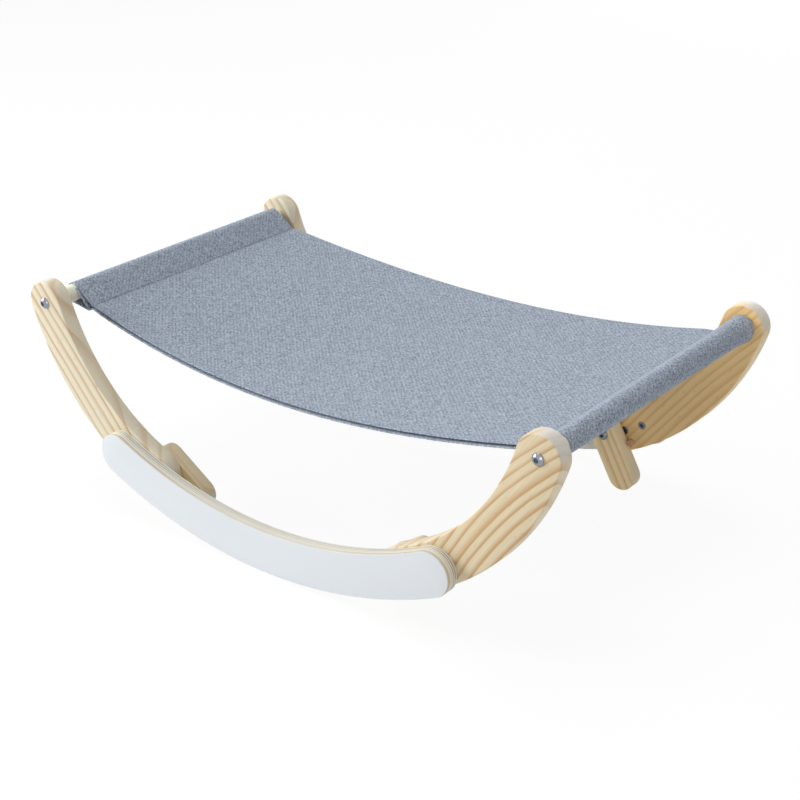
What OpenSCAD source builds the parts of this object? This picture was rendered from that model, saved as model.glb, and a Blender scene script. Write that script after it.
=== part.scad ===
// Rocking cat hammock: two side frames of curved arms on a rocker, two rods and a cloth sling.
// X runs from rod to rod, Y from the front frame to the rear one, Z up from the floor.

/* [Rockers] */
// Radius of the rocker's lower edge
rocker_r = 431; // [380:1:520]
// Width of the rocker, from its lower to its upper edge
rocker_w = 40; // [34:1:52]
// Thickness of the plywood
ply_t = 11.5; // [10:0.5:18]
// Bevel of the plywood's edges
rocker_bevel = 0.5; // [0.2:0.1:1]
// Thickness of the white facing
facing_t = 0.8; // [0.5:0.1:1.5]
// How far the facing's edge stands back from the plywood's
facing_inset = 0.5; // [0.2:0.1:1]

/* [Arms] */
// Clear width between the inner faces of the arms
inside_w = 298.4; // [240:0.2:380]
// Width of an arm
arm_w = 40; // [34:1:50]
// Thickness of an arm
arm_t = 15; // [14:0.5:20]
// Bevel of an arm's edges
arm_bevel = 1.5; // [0.5:0.25:3]
// Distance from the middle to the centre of an arm's round lower end
arm_foot_x = 142; // [125:1:160]
// Height of that centre above the middle line of the rocker
arm_lift = 1; // [0.5:0.25:3]
// Radius of the arm's bend, on its middle line
arm_r = 218.5; // [200:0.5:240]
// Slope of the arm at its lower end, from level
arm_foot_angle = 21.6; // [18:0.1:25]
// Slope of the arm at the rod
arm_top_angle = 72.3; // [66:0.1:78]

/* [Rods] */
// Diameter of the rods
rod_d = 16; // [14:0.5:20]

/* [Legs] */
// Width of a leg
leg_w = 27; // [24:1:32]
// Thickness of a leg
leg_t = 14; // [9:0.5:16]
// Bevel of a leg's edges
leg_bevel = 1; // [0.5:0.25:2]
// Slope of an opened leg, from level
leg_open_angle = 62; // [52:1:68]
// Slope of a folded leg, from level
leg_fold_angle = 34; // [26:1:38]
// Distance of the pivot outwards from the centre of the arm's lower end
pivot_dx = 3; // [0:0.5:5]
// Height of the pivot above that centre
pivot_dz = 5.5; // [3:0.5:7]
// Free play of a leg between its washer and its bolt head
leg_play = 0.1; // [0.05:0.05:0.3]
// Diameter of the stop peg
peg_d = 5.5; // [5:0.5:10]
// How far the peg stands out of the arm
peg_out = 6; // [4:0.5:9]
// How deep the peg sits in the arm
peg_in = 8; // [6:0.5:10]
// Distance from the pivot to the peg, along the opened leg
peg_along = 16.5; // [14:0.5:20]
// Gap between the peg and the opened leg
peg_gap = 0.3; // [0.2:0.05:0.5]

/* [Fasteners] */
// Diameter of the bolts
bolt_d = 6; // [5:0.5:7]
// Diameter of a button head
button_d = 10.5; // [9.5:0.25:13]
// Height of a button head
button_h = 3.3; // [2.6:0.1:4]
// Diameter of a sunk head
sunk_d = 8; // [7.5:0.25:12]
// Height of a sunk head
sunk_h = 6; // [5:0.25:7]
// Width across the flats of a head's socket
socket_af = 4; // [3:0.25:5]
// Depth of a head's socket
socket_depth = 2.2; // [1.5:0.1:2.5]
// Outer diameter of a threaded insert
insert_d = 9; // [8.5:0.25:10]
// Length of the inserts in the rods
rod_insert_l = 15; // [12:0.5:20]
// Length of the inserts in the rockers
rocker_insert_l = 9; // [7:0.5:9.5]
// Length of the pivot inserts in the arms
pivot_insert_l = 11; // [9:0.5:12]
// Distance along the arm from the centre of its lower end to the first rocker bolt
rocker_bolt_first = 19; // [18:0.5:22]
// Distance along the arm between its two rocker bolts
rocker_bolt_pitch = 20.5; // [18:0.5:24]
// Outer diameter of a pivot washer
washer_d = 16; // [13:0.5:17]
// Thickness of a pivot washer
washer_t = 1; // [0.8:0.1:1.6]
// Clearance of bolts, pegs and inserts in their holes, on the radius
fit_gap = 0.05; // [0.02:0.01:0.08]

/* [Sling] */
// Gap between the sling and the front arms
sling_front_gap = 17; // [2:0.5:24]
// Gap between the sling and the rear arms
sling_rear_gap = 2; // [1:0.5:6]
// Thickness of one layer of the cloth; the bed is two layers
cloth_t = 1.6; // [1:0.1:2.5]
// Slack of a sleeve round its rod
sleeve_gap = 0.3; // [0.2:0.1:1]
// Distance from a rod's axis to the seam that closes its sleeve
sleeve_l = 28; // [22:1:40]
// Depth of that seam below the rod's axis
seam_drop = 7.5; // [4:0.5:10]
// Depth of the hollow below the seams, at the middle of the sling
sag = 28.6; // [15:0.2:40]
// Extra depth of the hollow at the front edge, and the lack of it at the rear edge
sag_skew = 6.3; // [0:0.1:8]

/* [Hidden] */
$fn = 96;

// Heights and distances out from the middle plane of the two frames
arm_in = inside_w / 2;
arm_out = arm_in + arm_t;
ply_out = arm_out + ply_t;
face_out = ply_out + facing_t;

// Middle line of a rocker, as an arc round a point above the floor
rocker_mid_r = rocker_r - rocker_w / 2;
rocker_c = [0, rocker_r];

// A point on an arc, where the angle is the slope of the arc there
function arc_point(c, r, a) = [c[0] + r * sin(a), c[1] - r * cos(a)];

// Middle line of an arm: its lower end, the centre of its bend and its upper end at the rod
foot = [arm_foot_x, rocker_r - sqrt(pow(rocker_mid_r, 2) - pow(arm_foot_x, 2)) + arm_lift];
arm_c = [foot[0] - arm_r * sin(arm_foot_angle), foot[1] + arm_r * cos(arm_foot_angle)];
rod_at = arc_point(arm_c, arm_r, arm_top_angle);

// Rocker bolts of an arm, and the slope at which the rocker ends under the outer one
function along_arm(s) = arc_point(arm_c, arm_r, arm_foot_angle + s / arm_r * 180 / PI);
rocker_bolt_at = [for (i = [0, 1]) along_arm(rocker_bolt_first + i * rocker_bolt_pitch)];
rocker_end_angle = asin(rocker_bolt_at[1][0] / rocker_mid_r);

// A leg reaches from its pivot to the floor when it is opened
pivot = [foot[0] + pivot_dx, foot[1] + pivot_dz];
leg_l = (pivot[1] - leg_w / 2) / sin(leg_open_angle);
leg_out = arm_in - washer_t - leg_play;
leg_in = leg_out - leg_t;
head_seat = leg_in - leg_play;

// The peg stands beside the outer edge of the opened leg
peg_off = leg_w / 2 + peg_gap + peg_d / 2;
peg_at = [
    pivot[0] + peg_along * cos(leg_open_angle) + peg_off * sin(leg_open_angle),
    pivot[1] - peg_along * sin(leg_open_angle) + peg_off * cos(leg_open_angle)
];

// Sling: its edges, its seams, the sleeves' radii and the bed's thickness
sling_rear = arm_in - sling_rear_gap;
sling_front = sling_front_gap - arm_in;
sling_w = sling_rear - sling_front;
seam_x = rod_at[0] - sleeve_l;
seam_z = rod_at[1] - seam_drop;
sleeve_inner_r = rod_d / 2 + sleeve_gap;
sleeve_outer_r = sleeve_inner_r + cloth_t;
bed_t = 2 * cloth_t;

// Facets of the hanging bed: their aimed length and width, and how many fit
bed_facet_x = 17;
bed_facet_y = 36;
bed_nx = round(2 * seam_x / bed_facet_x);
bed_ny = round(sling_w / bed_facet_y);

// Small overshoot that carries a cut clear of a face
over = 1;
// How far a bolt stops short of the end of its insert
bolt_short = 1;
// How far a bar's round end stands in from its faces, and a sleeve's straight sides from its round
end_step = 0.02;
// Fineness of the long bends
bend_fn = 288;

// Side frames are drawn flat: x along the hammock, y up, z outwards from the middle plane.
module front() {
    rotate([90, 0, 0])
        children();
}

module rear() {
    mirror([0, 1, 0])
        front()
            children();
}

module left() {
    mirror([1, 0, 0])
        children();
}

// The same thing at all four corners of the hammock
module corners() {
    front()
        children();
    front()
        left()
            children();
    rear()
        children();
    rear()
        left()
            children();
}

// Cross-section of a wooden bar with bevelled edges: width on x, thickness on y
module bar_section(w, t, bevel) {
    x = w / 2;
    y = t / 2;
    polygon([
        [-x, bevel - y], [bevel - x, -y], [x - bevel, -y], [x, bevel - y],
        [x, y - bevel], [x - bevel, y], [bevel - x, y], [-x, y - bevel]
    ]);
}

// Round end of a bar, centred on the end of its middle line
module bar_end(p, w, t, bevel) {
    translate([p[0], p[1], 0])
        rotate_extrude()
            intersection() {
                bar_section(w - 2 * end_step, t - 2 * end_step, bevel);
                translate([0, -t])
                    square([w, 2 * t]);
            }
}

// Bar with round ends along an arc, between two slopes
module bent_bar(c, bend_r, a0, a1, w, t, bevel) {
    translate([c[0], c[1], 0])
        rotate([0, 0, a0 - 90])
            rotate_extrude(angle = a1 - a0, $fn = bend_fn)
                translate([bend_r, 0])
                    bar_section(w, t, bevel);
    for (a = [a0, a1])
        bar_end(arc_point(c, bend_r, a), w, t, bevel);
}

// Straight bar with round ends along x
module straight_bar(length, w, t, bevel) {
    rotate([90, 0, 90])
        linear_extrude(length)
            bar_section(w, t, bevel);
    for (x = [0, length])
        bar_end([x, 0], w, t, bevel);
}

// Round hole or pin at a place of the side frame, from one distance out to another
module pin_at(p, r, z0, z1) {
    translate([p[0], p[1], z0])
        cylinder(r = r, h = z1 - z0);
}

// Right arm of a frame, with the holes for its bolts, inserts and peg
module arm() {
    difference() {
        translate([0, 0, (arm_in + arm_out) / 2])
            bent_bar(arm_c, arm_r, arm_foot_angle, arm_top_angle, arm_w, arm_t, arm_bevel);
        pin_at(rod_at, bolt_d / 2 + fit_gap, arm_in - over, arm_out + over);
        for (p = rocker_bolt_at) {
            pin_at(p, bolt_d / 2 + fit_gap, arm_in - over, arm_out + over);
            pin_at(p, sunk_d / 2 + fit_gap, arm_in - over, arm_in + sunk_h);
        }
        pin_at(pivot, insert_d / 2 + fit_gap, arm_in - over, arm_in + pivot_insert_l);
        pin_at(peg_at, peg_d / 2 + fit_gap, arm_in - over, arm_in + peg_in);
    }
}

// Strip that follows the rocker, between two distances out
module rocker_strip(w, z0, z1, bevel) {
    translate([0, 0, (z0 + z1) / 2])
        bent_bar(rocker_c, rocker_mid_r, -rocker_end_angle, rocker_end_angle, w, z1 - z0, bevel);
}

// Plywood rocker with blind holes for the inserts of the arms' bolts
module rocker() {
    difference() {
        rocker_strip(rocker_w, arm_out, ply_out, rocker_bevel);
        for (s = [0, 1], p = rocker_bolt_at)
            mirror([s, 0, 0])
                pin_at(p, insert_d / 2 + fit_gap, arm_out - over, arm_out + rocker_insert_l);
    }
}

// White skin on the outer face of a rocker
module facing() {
    rocker_strip(rocker_w - 2 * facing_inset, ply_out, face_out, facing_t / 4);
}

// Rod between the arms, with a hole for an insert in each end
module rod() {
    difference() {
        pin_at(rod_at, rod_d / 2, -arm_in, arm_in);
        for (s = [0, 1])
            mirror([0, 0, s])
                pin_at(rod_at, insert_d / 2 + fit_gap, arm_in - rod_insert_l, arm_in + over);
    }
}

// Six-sided socket, cut down from a head's top
module socket(top) {
    translate([0, 0, top - socket_depth])
        cylinder(d = socket_af / cos(30), h = socket_depth + over, $fn = 6);
}

// Domed bolt with its head on +z and its shank below
module button_bolt(shank) {
    dome_r = (pow(button_d / 2, 2) + pow(button_h, 2)) / (2 * button_h);
    translate([0, 0, -shank])
        cylinder(d = bolt_d, h = shank);
    difference() {
        intersection() {
            cylinder(d = button_d, h = button_h);
            translate([0, 0, button_h - dome_r])
                sphere(dome_r);
        }
        socket(button_h);
    }
}

// Straight-sided bolt with its head's top at zero and its shank below
module sunk_bolt(length) {
    translate([0, 0, -length])
        cylinder(d = bolt_d, h = length - sunk_h / 2);
    difference() {
        translate([0, 0, -sunk_h])
            cylinder(d = sunk_d, h = sunk_h);
        socket(0);
    }
}

// Threaded sleeve, from one distance out to another
module insert(p, z0, z1) {
    difference() {
        pin_at(p, insert_d / 2, z0, z1);
        pin_at(p, bolt_d / 2 + fit_gap, z0 - over, z1 + over);
    }
}

// Leg that hangs from its pivot along the given slope direction
module leg(direction) {
    difference() {
        translate([pivot[0], pivot[1], (leg_in + leg_out) / 2])
            rotate([0, 0, direction])
                straight_bar(leg_l, leg_w, leg_t, leg_bevel);
        pin_at(pivot, bolt_d / 2 + fit_gap, leg_in - over, leg_out + over);
    }
}

module opened_leg() {
    leg(-leg_open_angle);
}

module folded_leg() {
    leg(180 + leg_fold_angle);
}

// Filled outline of a drop: a round of radius r at the rod, drawn in to a blunt tip towards the seam
module drop(r, tip_x, tip_h) {
    tip_z = tip_x * seam_drop / sleeve_l;
    lean = 180 + atan(seam_drop / sleeve_l);
    spread = acos((r - tip_h / 2) / norm([tip_x, tip_z]));
    side_r = r - end_step;
    circle(r);
    polygon([
        [0, 0],
        [side_r * cos(lean - spread), side_r * sin(lean - spread)],
        [-tip_x, tip_h / 2 - tip_z],
        [-tip_x, -tip_h / 2 - tip_z],
        [side_r * cos(lean + spread), side_r * sin(lean + spread)]
    ]);
}

// Sewn sleeve round the right rod
module sleeve() {
    translate([rod_at[0], sling_rear, rod_at[1]])
        rotate([90, 0, 0])
            linear_extrude(sling_w)
                difference() {
                    drop(sleeve_outer_r, sleeve_l, bed_t);
                    drop(sleeve_inner_r, sleeve_l - cloth_t, sleeve_gap);
                }
}

// Height of the bed's middle surface; u and v run from -1 to 1 across and along the sling
function bed_z(u, v) = seam_z - (sag - sag_skew * v) * (1 - u * u);

// Hanging bed between the two seams: an upper and a lower grid of points, closed round the edges
module sling_bed() {
    row = bed_nx + 1;
    layer = row * (bed_ny + 1);
    points = [
        for (side = [1, -1], j = [0:bed_ny], i = [0:bed_nx])
            let (u = 2 * i / bed_nx - 1, v = 2 * j / bed_ny - 1)
            [u * seam_x, sling_front + sling_w * (v + 1) / 2, bed_z(u, v) + side * bed_t / 2]
    ];
    quads = [
        for (j = [0:bed_ny - 1], i = [0:bed_nx - 1])
            let (a = j * row + i)
            each [
                [a, a + row, a + row + 1, a + 1],
                [layer + a, layer + a + 1, layer + a + row + 1, layer + a + row]
            ],
        for (i = [0:bed_nx - 1])
            let (b = bed_ny * row + i)
            each [
                [i, i + 1, layer + i + 1, layer + i],
                [b + 1, b, layer + b, layer + b + 1]
            ],
        for (j = [0:bed_ny - 1])
            let (a = j * row, b = j * row + bed_nx)
            each [
                [a + row, a, layer + a, layer + a + row],
                [b, b + row, layer + b + row, layer + b]
            ]
    ];
    triangles = [for (q = quads) each [[q[0], q[1], q[2]], [q[0], q[2], q[3]]]];
    color("lightsteelblue")
        polyhedron(points, triangles);
}

module front_right_arm() {
    color("burlywood")
        front()
            arm();
}

module front_left_arm() {
    color("burlywood")
        front()
            left()
                arm();
}

module rear_right_arm() {
    color("burlywood")
        rear()
            arm();
}

module rear_left_arm() {
    color("burlywood")
        rear()
            left()
                arm();
}

module front_rocker() {
    color("wheat")
        front()
            rocker();
}

module rear_rocker() {
    color("wheat")
        rear()
            rocker();
}

module front_facing() {
    color("white")
        front()
            facing();
}

module rear_facing() {
    color("white")
        rear()
            facing();
}

module right_rod() {
    color("cornsilk")
        front()
            rod();
}

module left_rod() {
    color("cornsilk")
        front()
            left()
                rod();
}

module rod_bolts() {
    color("silver")
        corners()
            translate([rod_at[0], rod_at[1], arm_out])
                button_bolt(arm_t + rod_insert_l - bolt_short);
}

module rod_inserts() {
    color("goldenrod")
        corners()
            insert(rod_at, arm_in - rod_insert_l, arm_in);
}

module rocker_bolts() {
    color("slategray")
        corners()
            for (p = rocker_bolt_at)
                translate([p[0], p[1], arm_in])
                    mirror([0, 0, 1])
                        sunk_bolt(arm_t + rocker_insert_l - bolt_short);
}

module rocker_inserts() {
    color("goldenrod")
        corners()
            for (p = rocker_bolt_at)
                insert(p, arm_out, arm_out + rocker_insert_l);
}

module front_right_leg() {
    color("tan")
        front()
            folded_leg();
}

module front_left_leg() {
    color("tan")
        front()
            left()
                folded_leg();
}

module rear_right_leg() {
    color("tan")
        rear()
            opened_leg();
}

module rear_left_leg() {
    color("tan")
        rear()
            left()
                opened_leg();
}

module pivot_bolts() {
    color("slategray")
        corners()
            translate([pivot[0], pivot[1], head_seat])
                mirror([0, 0, 1])
                    button_bolt(arm_in + pivot_insert_l - bolt_short - head_seat);
}

module pivot_washers() {
    color("silver")
        corners()
            difference() {
                pin_at(pivot, washer_d / 2, arm_in - washer_t, arm_in);
                pin_at(pivot, bolt_d / 2 + fit_gap, arm_in - washer_t - over, arm_in + over);
            }
}

module pivot_inserts() {
    color("goldenrod")
        corners()
            insert(pivot, arm_in, arm_in + pivot_insert_l);
}

module stop_pegs() {
    color("burlywood")
        corners()
            pin_at(peg_at, peg_d / 2, arm_in - peg_out, arm_in + peg_in);
}

module right_sleeve() {
    color("lightsteelblue")
        sleeve();
}

module left_sleeve() {
    color("lightsteelblue")
        left()
            sleeve();
}

front_left_arm();
front_right_arm();
rear_left_arm();
rear_right_arm();
front_rocker();
rear_rocker();
front_facing();
rear_facing();
left_rod();
right_rod();
rod_bolts();
rod_inserts();
rocker_bolts();
rocker_inserts();
front_left_leg();
front_right_leg();
rear_left_leg();
rear_right_leg();
pivot_bolts();
pivot_washers();
pivot_inserts();
stop_pegs();
sling_bed();
left_sleeve();
right_sleeve();
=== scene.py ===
"""Looks of a rocking cat hammock: wooden side frames, metal fasteners and a sewn cloth sling."""

import math
from collections import namedtuple
from contextlib import contextmanager
from types import SimpleNamespace

import bmesh
import bpy
from mathutils import Euler, Matrix, Vector


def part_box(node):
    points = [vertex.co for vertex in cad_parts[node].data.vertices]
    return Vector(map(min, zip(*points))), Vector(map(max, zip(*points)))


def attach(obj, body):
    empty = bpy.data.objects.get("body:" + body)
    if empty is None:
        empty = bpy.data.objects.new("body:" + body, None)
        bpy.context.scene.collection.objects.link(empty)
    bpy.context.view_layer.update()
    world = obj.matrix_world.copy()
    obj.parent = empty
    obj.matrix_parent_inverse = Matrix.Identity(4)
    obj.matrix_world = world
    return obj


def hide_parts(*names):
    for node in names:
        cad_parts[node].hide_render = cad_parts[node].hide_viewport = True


bl_info = {
    "name": "Cat Hammock",
    "version": (1, 0, 0),
    "blender": (4, 5, 0),
    "location": "View3D > Sidebar > Hammock",
    "description": "Models and finishes a rocking cat hammock around its packed frame",
    "category": "Object",
}

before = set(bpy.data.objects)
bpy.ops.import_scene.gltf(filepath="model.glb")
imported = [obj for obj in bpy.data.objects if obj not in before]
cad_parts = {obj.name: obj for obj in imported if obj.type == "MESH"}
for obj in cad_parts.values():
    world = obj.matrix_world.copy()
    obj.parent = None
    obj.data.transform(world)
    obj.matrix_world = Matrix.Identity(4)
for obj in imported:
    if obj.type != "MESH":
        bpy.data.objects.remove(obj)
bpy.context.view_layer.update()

# Levels that the frame gives: distances out from the middle plane, and the sling's edges
ARM_IN, ARM_OUT = (corner.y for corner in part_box("rear_right_arm"))
PLY_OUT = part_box("rear_rocker")[1].y
FACE_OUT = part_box("rear_facing")[1].y
LEG_IN, LEG_OUT = (corner.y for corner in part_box("rear_right_leg"))
PEG_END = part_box("stop_pegs")[1].y
SLING_FRONT, SLING_REAR = (corner.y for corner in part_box("sling_bed"))
ROD_R = (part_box("right_rod")[1].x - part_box("right_rod")[0].x) / 2

# The four corners of the hammock, as mirror images of the rear right one
CORNERS = {
    "front_left": Matrix.Diagonal((-1, -1, 1, 1)),
    "front_right": Matrix.Diagonal((1, -1, 1, 1)),
    "rear_left": Matrix.Diagonal((-1, 1, 1, 1)),
    "rear_right": Matrix.Identity(4),
}
SIDES = {"front": Matrix.Diagonal((1, -1, 1, 1)), "rear": Matrix.Identity(4)}
ENDS = {"left": Matrix.Diagonal((-1, 1, 1, 1)), "right": Matrix.Identity(4)}

# Distance within which points merge, and how far a cutter reaches past what it cuts
MERGE = 1e-5
OVERSHOOT = 0.001

# Sides of a round shape, steps of a rounded edge, and the angle from which an edge is rounded
ROUND_SIDES = 64
ROUND_STEPS = 4
SHARP_EDGE = math.radians(60)


def length(name, text, default):
    return bpy.props.FloatProperty(name=name, description=text, default=default, unit="LENGTH", precision=5)


def angle(name, text, degrees):
    default = math.radians(degrees)
    return bpy.props.FloatProperty(name=name, description=text, default=default, unit="ROTATION")


def colour(name, text, default):
    return bpy.props.FloatVectorProperty(
        name=name, description=text, default=default, size=3, min=0, max=1, subtype="COLOR"
    )


class HammockSizes(bpy.types.PropertyGroup):
    """Sizes of the pieces that the frame's boxes don't give"""

    rocker_radius: length("Rocker radius", "Radius of a rocker's lower edge", 0.431)
    rocker_width: length("Rocker width", "Width from the lower to the upper edge", 0.040)
    rocker_round: length("Rocker rounding", "Rounding of the plywood's edges", 0.0006)
    facing_inset: length("Facing inset", "How far the white face stands back from the plywood", 0.0005)
    facing_round: length("Facing rounding", "Rounding of the white face's edge", 0.00025)
    arm_width: length("Arm width", "Width of an arm", 0.040)
    arm_radius: length("Arm radius", "Radius of the arm's bend on its middle line", 0.2185)
    arm_foot_x: length("Arm foot", "Distance from the middle to the arm's lower end", 0.142)
    arm_lift: length("Arm lift", "Height of the arm's lower end above the rocker's middle line", 0.001)
    arm_foot_slope: angle("Foot slope", "Slope of the arm at its lower end", 21.6)
    arm_top_slope: angle("Top slope", "Slope of the arm at the rod", 72.3)
    arm_round: length("Arm rounding", "Rounding of an arm's edges", 0.0013)
    rod_round: length("Rod rounding", "Rounding of a rod's ends", 0.0006)
    leg_width: length("Leg width", "Width of a leg", 0.027)
    leg_round: length("Leg rounding", "Rounding of a leg's edges", 0.0009)
    leg_open_slope: angle("Open slope", "Slope of an opened leg", 62)
    leg_fold_slope: angle("Folded slope", "Slope of a folded leg", 34)
    leg_play: length("Leg play", "Free play between a leg and its bolt head", 0.0001)
    pivot_out: length("Pivot out", "Distance of the pivot outwards from the arm's lower end", 0.003)
    pivot_up: length("Pivot up", "Height of the pivot above the arm's lower end", 0.0055)
    peg_across: length("Peg diameter", "Diameter of a stop peg", 0.0055)
    peg_out: length("Peg stand-off", "How far a peg stands out of its arm", 0.006)
    peg_along: length("Peg place", "Distance from the pivot along the opened leg", 0.0165)
    peg_gap: length("Peg gap", "Gap between a peg and the opened leg", 0.0003)
    peg_round: length("Peg rounding", "Rounding of a peg's end", 0.0009)
    shank_across: length("Shank diameter", "Diameter of the bolts", 0.006)
    button_across: length("Button head", "Diameter of a domed bolt head", 0.0105)
    button_height: length("Button height", "Height of a domed bolt head", 0.0033)
    sunk_across: length("Sunk head", "Diameter of a sunk bolt head", 0.008)
    sunk_height: length("Sunk height", "Height of a sunk bolt head", 0.006)
    socket_flats: length("Socket flats", "Width across the flats of a bolt's socket", 0.004)
    socket_depth: length("Socket depth", "Depth of a bolt's socket", 0.0022)
    insert_across: length("Insert bore", "Diameter of the bore for a threaded insert", 0.0091)
    insert_length: length("Insert length", "Length of an insert in a rod", 0.015)
    pivot_insert: length("Pivot insert", "Length of a pivot insert in an arm", 0.011)
    hole_gap: length("Hole gap", "Clearance of bolts in their holes", 0.00005)
    first_bolt: length("First bolt", "Distance along the arm to the first rocker bolt", 0.019)
    bolt_pitch: length("Bolt pitch", "Distance between an arm's two rocker bolts", 0.0205)


class SlingSizes(bpy.types.PropertyGroup):
    """Sizes of the sewn cloth sling"""

    thickness: length("Thickness", "Thickness of the cloth", 0.0012)
    bed_gap: length("Bed gap", "Gap between the two cloths of the bed", 0.0001)
    lip_gap: length("Lip gap", "Extra gap between the two cloths at their edges", 0.0018)
    lip_reach: length("Lip reach", "How far that gap reaches in from the edges", 0.016)
    lower_reach: length("Lower reach", "How far the lower cloth stands out in front", 0.0012)
    fold_reach: length("Fold reach", "How far the cloth folded inside a sleeve stands out in front", 0.0022)
    flare: length("Flare", "How far the right sleeve widens towards its rear end", 0.0026)
    flare_reach: length("Flare reach", "How far that widening reaches in from the rear end", 0.022)
    rear_skew: length("Rear skew", "How far the rear edge leans towards the right rear arm", 0.0012)
    rod_slack: length("Rod slack", "Slack of a sleeve on top of its rod", 0.00015)
    sleeve_length: length("Sleeve length", "Distance from a rod's axis to the seam", 0.0250)
    seam_drop: length("Seam drop", "Depth of the seam below the rod's axis", 0.0092)
    seam_groove: length("Seam groove", "How far the stitches pull the cloth in along the left seam", 0.0008)
    left_slack: length("Left slack", "How far the left sleeve hangs below its rod", 0.0022)
    right_slack: length("Right slack", "How far the right sleeve hangs below its rod", 0.0018)
    slack_skew: length("Slack skew", "Extra slack of the sleeves at the rear edge", 0.0016)
    sag: length("Sag", "Depth of the hollow below the seams", 0.0269)
    sag_skew: length("Sag skew", "Extra depth of the hollow at the front edge", 0.0063)
    twist: length("Twist", "How far the hollow leans over at the edges", 0.004)
    front_skew: length("Front skew", "How far the front edge leans towards the right front arm", 0.00225)
    ripple: length("Ripple", "Height of the soft ripples beside the seams", 0.0003)
    stitch_pitch: length("Stitch pitch", "Distance from one stitch to the next", 0.0036)
    stitch_length: length("Stitch length", "Length of a stitch on the cloth", 0.0029)
    stitch_across: length("Stitch thickness", "Thickness of the sewing thread", 0.0005)
    thread_pitch: length("Thread pitch", "Distance between the threads of the weave", 0.0011)


class HammockColours(bpy.types.PropertyGroup):
    """Colours of the finishes"""

    pine_pale: colour("Pine pale", "Pale pine, of the front right arm", (0.74, 0.63, 0.42))
    pine_ring: colour("Pine ring", "Orange growth rings of the pale pine", (0.58, 0.355, 0.16))
    cream_pale: colour("Cream pale", "Palest pine, of the left arms", (0.73, 0.67, 0.51))
    cream_ring: colour("Cream ring", "Growth rings of the palest pine", (0.56, 0.36, 0.19))
    # The rear right arm's pine is more golden than the others, and its pale colour is also raised: painted
    # light that stands in for light reaching its face in the sling's shade.
    gold_pale: colour("Gold pale", "Golden pine, of the rear right arm", (0.87, 0.61, 0.285))
    gold_ring: colour("Gold ring", "Growth rings of the golden pine", (0.74, 0.455, 0.18))
    pine_fleck: colour("Pine fleck", "Dark resin flecks", (0.42, 0.24, 0.11))
    pine_edge: colour("Pine edge", "Sanded edges along the grain", (0.68, 0.60, 0.45))
    pine_end: colour("Pine end grain", "Sanded end grain", (0.71, 0.71, 0.69))
    ply_pale: colour("Ply pale", "Pale plies", (0.705, 0.685, 0.60))
    ply_tan: colour("Ply tan", "Plies that show their end grain", (0.545, 0.445, 0.315))
    ply_glue: colour("Glue line", "Glue between the plies", (0.17, 0.145, 0.11))
    white: colour("White face", "Satin white of the rockers", (0.708, 0.744, 0.777))
    rod: colour("Rod", "Pale rod wood", (0.87, 0.86, 0.73))
    leg_pale: colour("Leg pale", "Pale wood of the legs", (0.95, 0.75, 0.43))
    leg_ring: colour("Leg ring", "Growth rings of the legs", (0.78, 0.52, 0.25))
    peg: colour("Peg", "Dowel of the stop pegs", (0.56, 0.37, 0.21))
    # The bright bolts' colour is darker than polished steel: painted shade that stands in for dark
    # surroundings in their reflections.
    chrome_painted_dark: colour("Bright metal", "Polished bolts", (0.30, 0.32, 0.36))
    dark_metal: colour("Dark metal", "Dark zinc bolts", (0.17, 0.18, 0.20))
    zinc: colour("Zinc", "Plain zinc washers", (0.45, 0.46, 0.47))
    brass: colour("Brass", "Threaded inserts", (0.56, 0.38, 0.13))
    cloth_dark: colour("Cloth dark", "Darkest threads", (0.155, 0.187, 0.254))
    cloth_mid: colour("Cloth middle", "Middle threads", (0.328, 0.384, 0.470))
    cloth_light: colour("Cloth light", "Lightest threads", (0.528, 0.582, 0.650))
    sewing: colour("Sewing thread", "Thread of the seams", (0.33, 0.37, 0.45))
    floor: colour("Floor", "Floor as the camera sees it", (1.0, 1.0, 1.0))
    bounce: colour("Floor bounce", "Floor as it sends light back", (0.95, 0.95, 0.95))


# Directions in the plane of a side frame, for a slope from level
def along(slope):
    return Vector((math.cos(slope), 0, math.sin(slope)))


def across(slope):
    return Vector((-math.sin(slope), 0, math.cos(slope)))


def layout(sizes):
    """Places on the right half of a side frame, in its plane, from the driving sizes."""
    rocker_mid = sizes.rocker_radius - sizes.rocker_width / 2
    foot_drop = math.sqrt(rocker_mid**2 - sizes.arm_foot_x**2)
    foot = Vector((sizes.arm_foot_x, 0, sizes.rocker_radius - foot_drop + sizes.arm_lift))
    bend = foot + sizes.arm_radius * across(sizes.arm_foot_slope)

    def on_arm(slope):
        return bend - sizes.arm_radius * across(slope)

    runs = (sizes.first_bolt, sizes.first_bolt + sizes.bolt_pitch)
    bolts = [on_arm(sizes.arm_foot_slope + run / sizes.arm_radius) for run in runs]
    pivot = foot + Vector((sizes.pivot_out, 0, sizes.pivot_up))
    opened = -sizes.leg_open_slope
    beside = sizes.leg_width / 2 + sizes.peg_gap + sizes.peg_across / 2
    return SimpleNamespace(
        rocker_mid=rocker_mid,
        foot=foot,
        bend=bend,
        rod=on_arm(sizes.arm_top_slope),
        bolts=bolts,
        rocker_end=math.asin(bolts[1].x / rocker_mid),
        pivot=pivot,
        leg_length=(pivot.z - sizes.leg_width / 2) / math.sin(sizes.leg_open_slope),
        peg=pivot + sizes.peg_along * along(opened) + beside * across(opened),
    )


# Modelling helpers
def only(piece):
    """Select one piece alone and make it active."""
    bpy.ops.object.select_all(action="DESELECT")
    piece.select_set(True)
    bpy.context.view_layer.objects.active = piece


def start(name, primitive, **settings):
    """Add a primitive with nothing else selected, and apply its place."""
    bpy.ops.object.select_all(action="DESELECT")
    scale = settings.pop("scale", (1, 1, 1))
    primitive(**settings)
    piece = bpy.context.object
    piece.name = name
    piece.data.name = name
    piece.scale = scale
    bpy.ops.object.transform_apply(location=True, rotation=True, scale=True)
    return piece


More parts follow.
